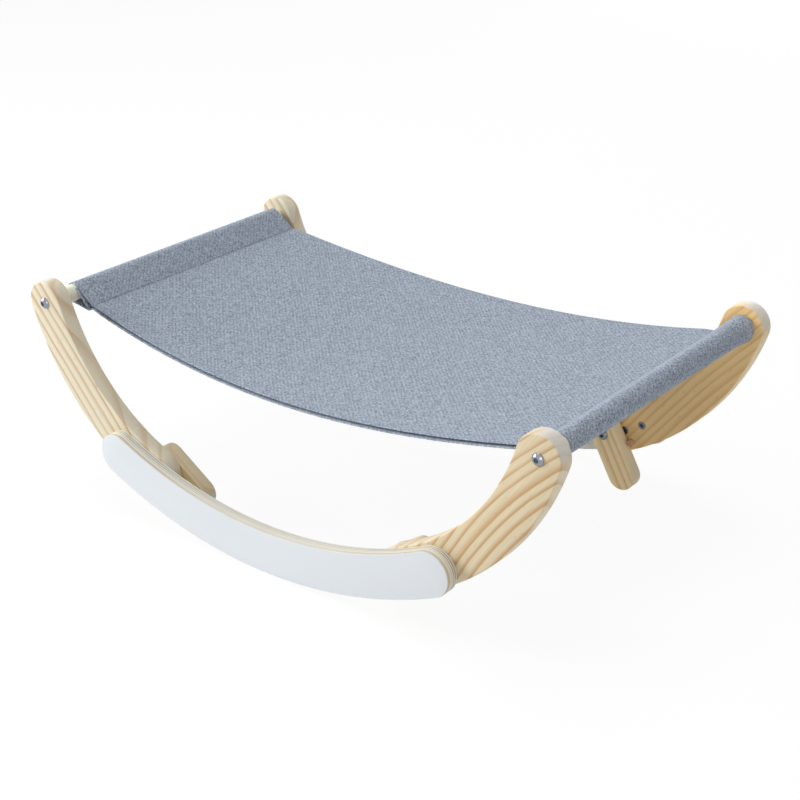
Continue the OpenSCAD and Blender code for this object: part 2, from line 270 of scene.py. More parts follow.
@contextmanager
def editing(piece):
    """Edit mode on one piece, with all of it selected at first."""
    only(piece)
    bpy.ops.object.mode_set(mode="EDIT")
    bpy.ops.mesh.select_all(action="SELECT")
    yield
    bpy.ops.object.mode_set(mode="OBJECT")


def pick(kind, test):
    """Select the vertices, edges or faces of the edited mesh that pass a test."""
    bpy.ops.mesh.select_mode(type=kind)
    bpy.ops.mesh.select_all(action="DESELECT")
    mesh = bmesh.from_edit_mesh(bpy.context.edit_object.data)
    items = {"VERT": mesh.verts, "EDGE": mesh.edges, "FACE": mesh.faces}[kind]
    for item in items:
        if test(item):
            item.select_set(True)
    mesh.select_flush_mode()
    bmesh.update_edit_mesh(bpy.context.edit_object.data)


def close_seams():
    """Merge the edited mesh's doubles and turn its faces outwards."""
    bpy.ops.mesh.select_all(action="SELECT")
    bpy.ops.mesh.remove_doubles(threshold=MERGE)
    bpy.ops.mesh.normals_make_consistent(inside=False)


def round_edges(radius):
    """Round every sharp edge of the edited mesh."""
    bpy.ops.mesh.select_mode(type="EDGE")
    bpy.ops.mesh.select_all(action="DESELECT")
    bpy.ops.mesh.edges_select_sharp(sharpness=SHARP_EDGE)
    bpy.ops.mesh.bevel(
        offset=radius, segments=ROUND_STEPS, profile=0.5, affect="EDGES", clamp_overlap=False
    )


def extrude(step):
    """Draw out what is selected in the edited mesh."""
    bpy.ops.mesh.extrude_region_move(TRANSFORM_OT_translate={"value": step})


def apply_modifier(piece, kind, **settings):
    """Add a modifier to a piece, set it and apply it."""
    only(piece)
    bpy.ops.object.modifier_add(type=kind)
    modifier = piece.modifiers[-1]
    for key, value in settings.items():
        setattr(modifier, key, value)
    bpy.ops.object.modifier_apply(modifier=modifier.name)


def join(pieces, name):
    """Make one piece of several."""
    bpy.ops.object.select_all(action="DESELECT")
    for piece in pieces:
        piece.select_set(True)
    bpy.context.view_layer.objects.active = pieces[0]
    if len(pieces) > 1:
        bpy.ops.object.join()
    joined = bpy.context.object
    joined.name = name
    joined.data.name = name
    return joined


def round_bar(name, radius, place, y_in, y_out):
    """Cylinder along Y at a place, from one level to another."""
    return start(
        name,
        bpy.ops.mesh.primitive_cylinder_add,
        vertices=ROUND_SIDES,
        radius=radius,
        depth=y_out - y_in,
        location=(place.x, (y_in + y_out) / 2, place.z),
        rotation=(math.pi / 2, 0, 0),
    )


def cut(piece, cutter):
    """Cut one piece's shape out of another and remove the cutter."""
    apply_modifier(piece, "BOOLEAN", operation="DIFFERENCE", solver="EXACT", object=cutter)
    bpy.data.objects.remove(cutter)


def drill(piece, holes):
    """Cut round holes along Y; each is its place, its radius and where it begins and ends."""
    cutters = [round_bar("drill", radius, place, y_in, y_out) for place, radius, y_in, y_out in holes]
    cut(piece, join(cutters, "drills"))


def copy(piece, name, matrix):
    """Copy a piece with a mesh of its own, moved or mirrored by a matrix."""
    only(piece)
    bpy.ops.object.duplicate()
    twin = bpy.context.object
    twin.name = name
    twin.data.name = name
    twin.matrix_world = matrix
    bpy.ops.object.transform_apply(location=True, rotation=True, scale=True)
    if matrix.is_negative:
        with editing(twin):
            bpy.ops.mesh.normals_make_consistent(inside=False)
    return twin


def settle(piece, material, slot, *nodes, body="frame", smooth=math.radians(35)):
    """Finish a piece: its shading, its material, the body it rides on and the nodes that it stands for."""
    only(piece)
    bpy.ops.object.shade_smooth_by_angle(angle=smooth)
    piece.data.materials.clear()
    piece.data.materials.append(material)
    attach(piece, body)
    if nodes:
        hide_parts(*nodes)


def settle_copies(pattern, mirrors, piece_end, node_end, material, slot):
    """Finish a copy of a pattern at each of its mirrored places, and remove the pattern."""
    for place, matrix in mirrors.items():
        settle(copy(pattern, place + piece_end, matrix), material, slot, place + node_end)
    bpy.data.objects.remove(pattern)


def dress(node, material):
    """Give a frame node that keeps its shape a material."""
    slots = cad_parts[node].data.materials
    slots.clear()
    slots.append(material)


# Wooden bars: steps of a round end, and the turn of one step along a bend
END_STEPS = 24
BEND_STEP = math.radians(1.2)


def section(name, place, slope, width, y_in, y_out):
    """Cross-section of a bar, square to the slope at its place."""
    return start(
        name,
        bpy.ops.mesh.primitive_plane_add,
        size=1,
        location=(place.x, (y_in + y_out) / 2, place.z),
        rotation=(0, -(math.pi / 2 + slope), 0),
        scale=(width, y_out - y_in, 1),
    )


def round_end(place, outwards, width):
    """Turn half of a bar's end face through half a turn about the end's axis."""
    side = Vector((0, 1, 0)).cross(outwards)

    def offset(face):
        off = face.calc_center_median() - place
        off.y = 0
        return off

    def on_end(face):
        off = offset(face)
        return abs(off.dot(outwards)) < MERGE and off.length < width / 2 and abs(face.normal.y) < 0.5

    pick("FACE", lambda face: on_end(face) and offset(face).dot(side) > 0)
    bpy.ops.mesh.spin(steps=END_STEPS, angle=math.pi, center=place, axis=(0, 1, 0))
    close_seams()
    pick("FACE", on_end)
    bpy.ops.mesh.delete(type="FACE")
    close_seams()


def bent_bar(name, centre, radius, slopes, width, y_in, y_out, rounding):
    """Bar with round ends, swept along an arc from one slope to another."""
    first, last = slopes
    ends = [centre - radius * across(slope) for slope in slopes]
    bar = section(name, ends[0], first, width, y_in, y_out)
    steps = math.ceil((last - first) / BEND_STEP)
    with editing(bar):
        bpy.ops.mesh.subdivide(number_cuts=1)
        bpy.ops.mesh.spin(steps=steps, angle=last - first, center=centre, axis=(0, 1, 0))
        close_seams()
        round_end(ends[0], -along(first), width)
        round_end(ends[1], along(last), width)
        round_edges(rounding)
    return bar


def straight_bar(name, run, width, y_in, y_out, rounding):
    """Bar with round ends along X, from the origin."""
    bar = section(name, Vector(), 0, width, y_in, y_out)
    with editing(bar):
        bpy.ops.mesh.subdivide(number_cuts=1)
        extrude((run, 0, 0))
        close_seams()
        round_end(Vector(), -along(0), width)
        round_end(Vector((run, 0, 0)), along(0), width)
        round_edges(rounding)
    return bar


# Materials
class Wire:
    """A node socket that takes part in Python arithmetic: each step adds a Math node."""

    def __init__(self, tree, socket=None):
        self.tree = tree
        self.socket = socket

    def node(self, kind, sockets=(), output=0, stops=(), **settings):
        """Add a node: first its settings, then the values or links of its sockets."""
        made = self.tree.nodes.new("ShaderNode" + kind)
        for key, value in settings.items():
            setattr(made, key, value)
        for index, (place, tint) in enumerate(stops):
            elements = made.color_ramp.elements
            element = elements[index] if index < len(elements) else elements.new(place)
            element.position = place
            element.color = (*tint, 1)
        for key, value in dict(sockets).items():
            if isinstance(value, Wire):
                self.tree.links.new(value.socket, made.inputs[key])
            else:
                made.inputs[key].default_value = value
        return Wire(self.tree, made.outputs[output])

    def maths(self, operation, *values):
        return self.node("Math", enumerate(values), operation=operation)

    def __add__(self, other):
        return self.maths("ADD", self, other)

    __radd__ = __add__

    def __sub__(self, other):
        return self.maths("SUBTRACT", self, other)

    def __rsub__(self, other):
        return self.maths("SUBTRACT", other, self)

    def __mul__(self, other):
        return self.maths("MULTIPLY", self, other)

    __rmul__ = __mul__

    def __truediv__(self, other):
        return self.maths("DIVIDE", self, other)

    def __pow__(self, other):
        return self.maths("POWER", self, other)

    def __mod__(self, other):
        return self.maths("FLOORED_MODULO", self, other)

    def __abs__(self):
        return self.maths("ABSOLUTE", self)

    def whole(self):
        return self.maths("FLOOR", self)

    def steps(self, low, high):
        """Smooth step from 0 below low to 1 above high."""
        ends = {"Value": self, "From Min": low, "From Max": high}
        return self.node("MapRange", ends, interpolation_type="SMOOTHSTEP", clamp=True)

    def split(self):
        made = self.node("SeparateXYZ", {0: self})
        return [Wire(self.tree, output) for output in made.socket.node.outputs]

    def vector(self, x, y, z):
        return self.node("CombineXYZ", {0: x, 1: y, 2: z})

    def noise(self, x, y, z, detail=2):
        """Noise between 0 and 1 with a blot to each unit: metres times 6 give 6 blots in a metre."""
        sockets = {"Vector": self.vector(x, y, z), "Scale": 1, "Detail": detail}
        return self.node("TexNoise", sockets)

    def mix(self, factor, first, second, blend_type="MIX"):
        """Blend of two colours by a value from 0 to 1."""
        sockets = {0: factor}
        for key, tint in ((6, first), (7, second)):
            sockets[key] = tint if isinstance(tint, Wire) else (*tint, 1)
        return self.node("Mix", sockets, output=2, data_type="RGBA", blend_type=blend_type)

    def vary(self, tint, noise, contrast):
        """A colour made lighter and darker by a noise, about its middle."""
        factor = noise * contrast + (1 - contrast / 2)
        grey = self.node("CombineColor", {0: factor, 1: factor, 2: factor})
        return self.mix(1.0, tint, grey, blend_type="MULTIPLY")


class Finish:
    """A material in the making: its Principled shader and the coordinates of its piece."""

    def __init__(self, name, **fixed):
        self.material = bpy.data.materials.new(name)
        self.material.use_nodes = True
        self.tree = self.material.node_tree
        self.shader = self.tree.nodes["Principled BSDF"]
        self.wire = Wire(self.tree)
        for key, value in fixed.items():
            self.shader.inputs[key.replace("_", " ")].default_value = value

    def place(self, turn=(0, 0, 0), centre=(0, 0, 0)):
        """The piece's own coordinates, turned and then measured from a centre."""
        shift = -(Euler(turn).to_matrix() @ Vector(centre))
        spot = self.wire.node("TexCoord", output="Object")
        sockets = {"Vector": spot, "Location": shift, "Rotation": turn}
        return self.wire.node("Mapping", sockets).split()

    def set(self, socket, value):
        self.tree.links.new(value.socket, self.shader.inputs[socket])

    def bump(self, height, depth, strength=1.0):
        """Relief of the surface, as deep in metres as its depth says where the height goes from 0 to 1."""
        sockets = {"Height": height, "Distance": depth, "Strength": strength}
        self.set("Normal", self.wire.node("Bump", sockets))


def blend(first, second, share):
    """A colour between two colours."""
    return tuple(a + (b - a) * share for a, b in zip(first, second))


# Grain of a pine bar: its kind of wood, the heart of its trunk across and through the bar, the distance
# between its rings, the place in the noise, its tilt from the bar in degrees, and how far it bows
Grain = namedtuple("Grain", "wood heart pitch seed tilt bow", defaults=(0, 0.0))
ARM_GRAIN = {
    "front_left": Grain("cream", heart=(-0.13, 0.05), pitch=0.0088, seed=0, tilt=3),
    "front_right": Grain("pine", heart=(-0.16, -0.04), pitch=0.0080, seed=3.7, tilt=7, bow=1.3),
    "rear_left": Grain("cream", heart=(-0.12, -0.05), pitch=0.0090, seed=7.4, tilt=-2, bow=0.4),
    # The rear right arm's golden colours are partly painted light, raised for its face in the sling's shade.
    "rear_right": Grain("gold", heart=(-0.15, 0.06), pitch=0.0066, seed=11.1, tilt=2.5, bow=0.3),
}
LEG_GRAIN = {
    corner: Grain("leg", heart=(0.07 + 0.01 * number, 0.02), pitch=0.008, seed=20 + number * 2.3)
    for number, corner in enumerate(CORNERS)
}

# How far the growth rings drift and waver, and places across a ring with the share of its own colour
RING_DRIFT = 0.005
RING_WAVER = 0.0012
RING_TONES = ((0, 1), (0.1, 1), (0.24, 0.6), (0.42, 0.12), (0.55, 0), (0.93, 0), (1, 1))

# Plies from the outer to the inner face: where each begins and ends, and its colour
PLIES = (
    (0, 0.17, "ply_tan"),
    (0.19, 0.35, "ply_pale"),
    (0.37, 0.41, "ply_tan"),
    (0.43, 0.56, "ply_pale"),
    (0.56, 0.61, "ply_glue"),
    (0.625, 0.73, "ply_pale"),
    (0.745, 0.795, "ply_glue"),
    (0.81, 1, "ply_pale"),
)

# Distances from the middle of a rocker between which the fading of its glue lines ends
WORN_FROM = 0.05
WORN_TO = 0.14

# Weave of the cloth: slubs in a metre of thread, their shift from thread to thread, and threads in a repeat
SLUBS = 430
SLUB_SHIFT = 3.71
TWILL = 4

# How much the cloth's tone varies along a thread, from crossing to crossing, and between warp and weft
THREAD_CONTRAST = 1.45
CROSSING_CONTRAST = 0.4
TWILL_CONTRAST = 0.12


def pine(name, tints, grain, slope, centre):
    """Straight-grained pine: growth rings round a distant heart, fine fibres and resin flecks."""
    wood = Finish(name, Specular_IOR_Level=0.4, Coat_Roughness=0.3)
    run, depth, width = wood.place((0, slope, 0), centre)
    wire = wood.wire
    pale, ring = (getattr(tints, grain.wood + shade) for shade in ("_pale", "_ring"))
    seed = grain.seed
    drift = wire.noise(run * 6, width * 10, depth * 10 + seed) - 0.5
    waver = wire.noise(run * 30, width * 70, depth * 70 + seed) - 0.5
    heart_width, heart_depth = grain.heart
    reach = ((width - heart_width) ** 2 + (depth - heart_depth) ** 2) ** 0.5
    reach = reach + drift * RING_DRIFT + waver * RING_WAVER + run * run * grain.bow
    uneven = wire.noise(reach * 90, seed, 0, detail=1)
    phase = (reach / grain.pitch + uneven * 0.8) % 1
    stops = [(place, blend(pale, ring, share)) for place, share in RING_TONES]
    rings = wire.node("ValToRGB", {"Fac": phase}, stops=stops)
    strength = wire.noise(run * 9, width * 35, depth * 35 + seed, detail=1).steps(0.2, 0.6) * 0.5 + 0.5
    tint = wire.mix(strength, pale, rings)
    fibre = wire.noise(run * 22, width * 1100, depth * 1100 + seed)
    fleck = wire.noise(run * 130, width * 900, depth * 900 + seed, detail=1).steps(0.68, 0.78)
    tint = wire.mix(fleck * 0.55, tint, tints.pine_fleck)
    normal = wire.node("TexCoord", output="Normal")
    edge = 1 - abs(normal.split()[1])
    tint = wire.mix(edge.steps(0.4, 0.9) * 0.5, tint, tints.pine_edge)
    fibres = wire.vector(math.cos(slope), 0, math.sin(slope))
    facing = abs(wire.node("VectorMath", {0: normal, 1: fibres}, output="Value", operation="DOT_PRODUCT"))
    tint = wire.mix(facing.steps(0.5, 0.95) * 0.65, tint, tints.pine_end)
    wood.set("Base Color", wire.vary(tint, fibre, contrast=0.24))
    wood.set("Roughness", fibre * 0.14 + 0.40)
    wood.set("Coat Weight", 0.12 - fleck * 0.1)
    wood.bump(fibre * 0.6 + phase * 0.4, depth=0.00006)
    return wood.material


def plywood(name, tints, inner, outer):
    """Plies stacked from the outer to the inner face, with glue lines that fade in the rocker's middle."""
    wood = Finish(name, Specular_IOR_Level=0.35)
    run, depth, height = wood.place()
    wire = wood.wire
    bow = wire.noise(run * 14, height * 14, 0, detail=1) - 0.5
    layer = (outer - abs(depth)) / (outer - inner) + bow * 0.035
    stops = [(place, getattr(tints, ply)) for low, high, ply in PLIES for place in (low, high)]
    tint = wire.node("ValToRGB", {"Fac": layer}, stops=stops)
    broken = wire.noise(run * 45, layer * 30, 0).steps(0.35, 0.6)
    worn = (1 - abs(run).steps(WORN_FROM, WORN_TO)) * 0.5
    tint = wire.mix(broken * 0.25 + worn, tint, tints.ply_pale)
    speck = wire.noise(run * 500, depth * 1500, height * 500)
    wood.set("Base Color", wire.vary(tint, speck, contrast=0.26))
    wood.set("Roughness", speck * 0.2 + 0.48)
    wood.bump(speck, depth=0.00008)
    return wood.material


def satin_white(name, tint):
    """Smooth white facing with the faint unevenness of a rolled coat."""
    coat = Finish(name, Specular_IOR_Level=0.45)
    run, depth, height = coat.place()
    wire = coat.wire
    cloud = wire.noise(run * 9, depth * 9, height * 9)
    peel = wire.noise(run * 700, depth * 700, height * 700, detail=1)
    coat.set("Base Color", wire.vary(tint, cloud, contrast=0.04))
    coat.set("Roughness", peel * 0.08 + cloud * 0.06 + 0.30)
    coat.bump(peel, depth=0.00002)
    return coat.material


def rod_wood(name, tint):
    """Pale turned wood with fine straight grain along Y."""
    wood = Finish(name, Specular_IOR_Level=0.35)
    x, run, z = wood.place()
    wire = wood.wire
    fibre = wire.noise(x * 1200, run * 25, z * 1200)
    band = wire.noise(x * 160, run * 4, z * 160)
    streak = blend(tint, (0.5, 0.36, 0.2), 0.45)
    tint = wire.mix(band.steps(0.4, 0.8) * 0.5, tint, streak)
    wood.set("Base Color", wire.vary(tint, fibre, contrast=0.2))
    wood.set("Roughness", fibre * 0.15 + 0.45)
    wood.bump(fibre, depth=0.00005)
    return wood.material


def peg_wood(name, tint):
    """Cross-cut dowel: darker pores on its end and straight grain on its side."""
    wood = Finish(name, Specular_IOR_Level=0.3)
    x, run, z = wood.place()
    wire = wood.wire
    pores = wire.noise(x * 2200, run * 60, z * 2200)
    dark = blend(tint, (0, 0, 0), 0.5)
    tint = wire.mix(pores.steps(0.55, 0.75) * 0.5, tint, dark)
    wood.set("Base Color", wire.vary(tint, pores, contrast=0.2))
    wood.set("Roughness", pores * 0.2 + 0.5)
    wood.bump(pores, depth=0.00005)
    return wood.material


def metal(name, tint, roughness, scratch):
    """Metal with faint marks that break up its gloss."""
    plate = Finish(name, Metallic=1.0)
    x, y, z = plate.place()
    wire = plate.wire
    smudge = wire.noise(x * 260, y * 260, z * 260)
    marks = wire.noise(x * 4000, y * 300, z * 4000)
    plate.set("Base Color", wire.vary(tint, smudge, contrast=0.16))
    plate.set("Roughness", smudge * roughness + marks * scratch + roughness / 2)
    plate.bump(marks, depth=0.000004)
    return plate.material


def linen(name, tints, pitch):
    """Heathered twill: slubby light and dark threads, each over two and under two of the others."""
    cloth = Finish(name, Roughness=0.92, Specular_IOR_Level=0.15, Sheen_Weight=0.1, Sheen_Roughness=0.6)
    wire = cloth.wire
    run, width, _ = wire.node("UVMap", uv_map="cloth").split()
    warp_at = width / pitch
    weft_at = run / pitch
    warp_row = warp_at.whole()
    weft_row = weft_at.whole()
    warp = wire.noise(run * SLUBS, warp_row * SLUB_SHIFT, 0, detail=1)
    weft = wire.noise(weft_row * SLUB_SHIFT, width * SLUBS, 5, detail=1)
    over = wire.maths("LESS_THAN", (warp_row + weft_row) % TWILL, TWILL / 2)
    thread = warp * over + weft * (1 - over)
    threads = wire.vector(warp_row, weft_row, 0)
    crossing = wire.node("TexWhiteNoise", {"Vector": threads}, noise_dimensions="2D")
    tone = 0.5 + (thread - 0.5) * THREAD_CONTRAST
    tone = tone + (crossing - 0.5) * CROSSING_CONTRAST + (over - 0.5) * TWILL_CONTRAST
    stops = ((0.1, tints.cloth_dark), (0.5, tints.cloth_mid), (0.9, tints.cloth_light))
    cloth.set("Base Color", wire.node("ValToRGB", {"Fac": tone}, stops=stops))
    warp_hump = wire.maths("SINE", warp_at * math.pi)
    weft_hump = wire.maths("SINE", weft_at * math.pi)
    weave = abs(warp_hump) * over + abs(weft_hump) * (1 - over)
    cloth.bump(weave + thread * 0.5, depth=0.0003, strength=0.8)
    return cloth.material


def sewing_thread(name, tint):
    """Twisted polyester thread."""
    yarn = Finish(name, Roughness=0.7, Specular_IOR_Level=0.3)
    x, run, z = yarn.place()
    wire = yarn.wire
    twist = wire.noise(x * 1500, run * 1500, z * 1500)
    yarn.set("Base Color", wire.vary(tint, twist, contrast=0.5))
    yarn.bump(twist, depth=0.0001)
    return yarn.material


# Operators, one for each group of like pieces
class PieceOperator:
    """What the operators share: their sizes, their colours and the places worked out from them"""

    bl_options = {"REGISTER", "UNDO"}

    def prepare(self, context):
        self.sizes = context.scene.hammock_sizes
        self.sling = context.scene.hammock_sling
        self.tints = context.scene.hammock_colours
        self.places = layout(self.sizes)

    def rocker_bar(self, name, inset, y_in, y_out, rounding):
        """Bar along a whole rocker, set in from its upper and lower edges."""
        centre = Vector((0, 0, self.sizes.rocker_radius))
        slopes = (-self.places.rocker_end, self.places.rocker_end)
        width = self.sizes.rocker_width - 2 * inset
        return bent_bar(name, centre, self.places.rocker_mid, slopes, width, y_in, y_out, rounding)


class HAMMOCK_OT_arms(PieceOperator, bpy.types.Operator):
    """Model the four curved pine arms with their bolt holes"""

    bl_idname = "hammock.arms"
    bl_label = "Arms"

    def execute(self, context):
        self.prepare(context)
        sizes, places = self.sizes, self.places
        slopes = (sizes.arm_foot_slope, sizes.arm_top_slope)
        arm = bent_bar(
            "arm", places.bend, sizes.arm_radius, slopes, sizes.arm_width, ARM_IN, ARM_OUT, sizes.arm_round
        )
        shank = sizes.shank_across / 2 + sizes.hole_gap
        head = sizes.sunk_across / 2 + sizes.hole_gap
        peg = sizes.peg_across / 2 + sizes.hole_gap
        begin = ARM_IN - OVERSHOOT
        holes = [
            (places.rod, shank, begin, ARM_OUT + OVERSHOOT),
            (places.pivot, sizes.insert_across / 2, begin, ARM_IN + sizes.pivot_insert),
            (places.peg, peg, begin, PEG_END),
        ]
        for place in places.bolts:
            holes.append((place, shank, ARM_IN + sizes.sunk_height / 2, ARM_OUT + OVERSHOOT))
            holes.append((place, head, begin, ARM_IN + sizes.sunk_height))
        for hole in holes:
            drill(arm, [hole])
        chord = places.rod - places.foot
        rise = math.atan2(chord.z, chord.x)
        middle = (places.rod + places.foot) / 2
        for corner, matrix in CORNERS.items():
            grain = ARM_GRAIN[corner]
            twin = copy(arm, corner + "_arm_wood", matrix)
            slope = rise + math.radians(grain.tilt)
            lie = slope if "right" in corner else math.pi - slope
            centre = matrix @ Vector((middle.x, (ARM_IN + ARM_OUT) / 2, middle.z))
            wood = pine(corner + "_pine", self.tints, grain, lie, centre)
            settle(twin, wood, "pine", corner + "_arm")
        bpy.data.objects.remove(arm)
        return {"FINISHED"}


class HAMMOCK_OT_rockers(PieceOperator, bpy.types.Operator):
    """Model the two plywood rockers"""

    bl_idname = "hammock.rockers"
    bl_label = "Rockers"

    def execute(self, context):
        self.prepare(context)
        rocker = self.rocker_bar("rocker", 0, ARM_OUT, PLY_OUT, self.sizes.rocker_round)
        wood = plywood("layered_plywood", self.tints, ARM_OUT, PLY_OUT)
        settle_copies(rocker, SIDES, "_rocker_ply", "_rocker", wood, "plywood")
        return {"FINISHED"}


class HAMMOCK_OT_facings(PieceOperator, bpy.types.Operator):
    """Model the white faces of the rockers"""

    bl_idname = "hammock.facings"
    bl_label = "White faces"

    def execute(self, context):
        self.prepare(context)
        sizes = self.sizes
        facing = self.rocker_bar("facing", sizes.facing_inset, PLY_OUT, FACE_OUT, sizes.facing_round)
        coat = satin_white("satin_white", self.tints.white)
        settle_copies(facing, SIDES, "_facing_coat", "_facing", coat, "white_facing")
        return {"FINISHED"}


class HAMMOCK_OT_rods(PieceOperator, bpy.types.Operator):
    """Model the two rods with a bore in each end"""

    bl_idname = "hammock.rods"
    bl_label = "Rods"

    def execute(self, context):
        self.prepare(context)
        sizes, places = self.sizes, self.places
        rod = round_bar("rod", ROD_R, places.rod, -ARM_IN, ARM_IN)
        with editing(rod):
            round_edges(sizes.rod_round)
        bore = sizes.insert_across / 2
        holes = [
            (places.rod, bore, -ARM_IN - OVERSHOOT, sizes.insert_length - ARM_IN),
            (places.rod, bore, ARM_IN - sizes.insert_length, ARM_IN + OVERSHOOT),
        ]
        drill(rod, holes)
        wood = rod_wood("pale_rod_wood", self.tints.rod)
        settle_copies(rod, ENDS, "_rod_wood", "_rod", wood, "rod_wood")
        return {"FINISHED"}


class HAMMOCK_OT_legs(PieceOperator, bpy.types.Operator):
    """Model the four swivel legs, folded in front and opened at the rear"""

    bl_idname = "hammock.legs"
    bl_label = "Swivel legs"

    def execute(self, context):
        self.prepare(context)
        sizes, places = self.sizes, self.places
        leg = straight_bar("leg", places.leg_length, sizes.leg_width, LEG_IN, LEG_OUT, sizes.leg_round)
        shank = sizes.shank_across / 2 + sizes.hole_gap
        drill(leg, [(Vector(), shank, LEG_IN - OVERSHOOT, LEG_OUT + OVERSHOOT)])
        slopes = {"front": math.pi + sizes.leg_fold_slope, "rear": -sizes.leg_open_slope}
        for corner, mirror in CORNERS.items():
            slope = slopes[corner.split("_")[0]]
            hang = Matrix.Translation(places.pivot) @ Matrix.Rotation(-slope, 4, "Y")
            twin = copy(leg, corner + "_leg_wood", mirror @ hang)
            lie = slope if "right" in corner else math.pi - slope
            middle = places.pivot + along(slope) * places.leg_length / 2
            centre = mirror @ Vector((middle.x, (LEG_IN + LEG_OUT) / 2, middle.z))
            wood = pine(corner + "_leg_pine", self.tints, LEG_GRAIN[corner], lie, centre)
            settle(twin, wood, "leg_wood", corner + "_leg", body=corner + "_leg")
        bpy.data.objects.remove(leg)
        return {"FINISHED"}


# Small forms of the bolts: the broken edge under a head, a domed head's foot as a share of its radius, its
# straight rim, its steps and the flat round its socket as a share of the socket
EDGE_BREAK = 0.0002
DOME_FOOT = 0.985
DOME_RIM = 0.0006
DOME_STEPS = 10
DOME_FLAT = 0.68

# Chamfer of a sunk head, and how far its bolt reaches into the rocker
SUNK_CHAMFER = 0.0006
SUNK_HOLD = 0.008

# Turn of the first bolt in its hole, and the further turn of each next one
FIRST_TURN = 0.4
NEXT_TURN = 1.7


def ring(radius, place):
    """Test for the vertices at one height of a bolt that stands on Z, out to a radius."""
    return lambda vertex: abs(vertex.co.z - place) < MERGE and vertex.co.xy.length > radius - MERGE


def bolt(name, profile, sizes, shank):
    """Bolt on Z: a head drawn up through a profile of heights and radii, a socket and a shank."""
    base_height, base_radius = profile[0]
    piece = start(
        name,
        bpy.ops.mesh.primitive_circle_add,
        vertices=ROUND_SIDES,
        radius=base_radius,
        fill_type="NOTHING",
        location=(0, 0, base_height),
    )
    with editing(piece):
        for (low, before), (high, after) in zip(profile, profile[1:]):
            extrude((0, 0, high - low))
            share = after / before
            bpy.ops.transform.resize(value=(share, share, 1))
        bpy.ops.mesh.edge_face_add()
        pick("VERT", ring(base_radius, base_height))
        extrude((0, 0, 0))
        share = sizes.shank_across / 2 / base_radius
        bpy.ops.transform.resize(value=(share, share, 1))
        extrude((0, 0, -shank))
        bpy.ops.mesh.edge_face_add()
        close_seams()
    top = profile[-1][0]
    socket = start(
        "socket",
        bpy.ops.mesh.primitive_cylinder_add,
        vertices=6,
        radius=sizes.socket_flats / 2 / math.cos(math.pi / 6),
        depth=2 * sizes.socket_depth,
        location=(0, 0, top),
    )
    cut(piece, socket)
    return piece


def bolt_row(pattern, name, spots, outwards):
    """Copies of a bolt at places of the four corners, each turned a little further in its hole."""
    copies = []
    for corner, mirror in CORNERS.items():
        for place, level in spots:
            turn = Matrix.Rotation(FIRST_TURN + NEXT_TURN * len(copies), 4, "Z")
            spot = mirror @ Vector((place.x, level, place.z))
            side = 1 if corner.startswith("rear") else -1
            face = Matrix.Rotation(-side * outwards * math.pi / 2, 4, "X")
            copies.append(copy(pattern, name, Matrix.Translation(spot) @ face @ turn))
    bpy.data.objects.remove(pattern)
    return join(copies, name)


class HAMMOCK_OT_button_bolts(PieceOperator, bpy.types.Operator):
    """Model the domed bolts: bright ones at the rods and dark ones at the legs"""

    bl_idname = "hammock.button_bolts"
    bl_label = "Domed bolts"

    def dome(self):
        """Heights and radii up a domed head, from a short straight rim."""
        sizes = self.sizes
        radius = sizes.button_across / 2
        rise = sizes.button_height - DOME_RIM
        ball = (radius**2 + rise**2) / (2 * rise)
        flat = sizes.socket_flats * DOME_FLAT
        first = math.asin(radius / ball)
        last = math.asin(flat / ball)
        profile = [(0, radius * DOME_FOOT), (EDGE_BREAK, radius)]
        for step in range(DOME_STEPS + 1):
            tilt = first + (last - first) * step / DOME_STEPS
            profile.append((DOME_RIM + rise - ball * (1 - math.cos(tilt)), ball * math.sin(tilt)))
        return profile

    def execute(self, context):
        self.prepare(context)
        sizes, places = self.sizes, self.places
        shank = ARM_OUT - ARM_IN + sizes.insert_length - OVERSHOOT
        rods = bolt("rod_bolt", self.dome(), sizes, shank)
        rods = bolt_row(rods, "rod_bolts_bright", [(places.rod, ARM_OUT)], 1)
        # Bright steel with its colour darkened: painted shade in place of dark surroundings in its
        # reflections.
        steel = metal("bright_steel", self.tints.chrome_painted_dark, roughness=0.09, scratch=0.05)
        settle(rods, steel, "bright_bolts", "rod_bolts")
        seat = LEG_IN - sizes.leg_play
        shank = ARM_IN + sizes.pivot_insert - OVERSHOOT - seat
        pivots = bolt("pivot_bolt", self.dome(), sizes, shank)
        pivots = bolt_row(pivots, "pivot_bolts_dark", [(places.pivot, seat)], -1)
        zinc = metal("dark_zinc_domed", self.tints.dark_metal, roughness=0.3, scratch=0.12)
        settle(pivots, zinc, "dark_bolts", "pivot_bolts")
        return {"FINISHED"}


class HAMMOCK_OT_sunk_bolts(PieceOperator, bpy.types.Operator):
    """Model the sunk bolts between the arms and the rockers"""

    bl_idname = "hammock.sunk_bolts"
    bl_label = "Sunk bolts"

    def execute(self, context):
        self.prepare(context)
        sizes, places = self.sizes, self.places
        radius = sizes.sunk_across / 2
        base = -sizes.sunk_height
        profile = [
            (base, radius - EDGE_BREAK),
            (base + EDGE_BREAK, radius),
            (-SUNK_CHAMFER, radius),
            (-SUNK_CHAMFER / 3, radius - SUNK_CHAMFER / 3),
            (0, radius - SUNK_CHAMFER),
        ]
        shank = ARM_OUT + SUNK_HOLD - ARM_IN - sizes.sunk_height
        rockers = bolt("rocker_bolt", profile, sizes, shank)
        spots = [(place, ARM_IN) for place in places.bolts]
        rockers = bolt_row(rockers, "rocker_bolts_dark", spots, -1)
        zinc = metal("dark_zinc", self.tints.dark_metal, roughness=0.3, scratch=0.12)
        settle(rockers, zinc, "dark_bolts", "rocker_bolts")
        return {"FINISHED"}


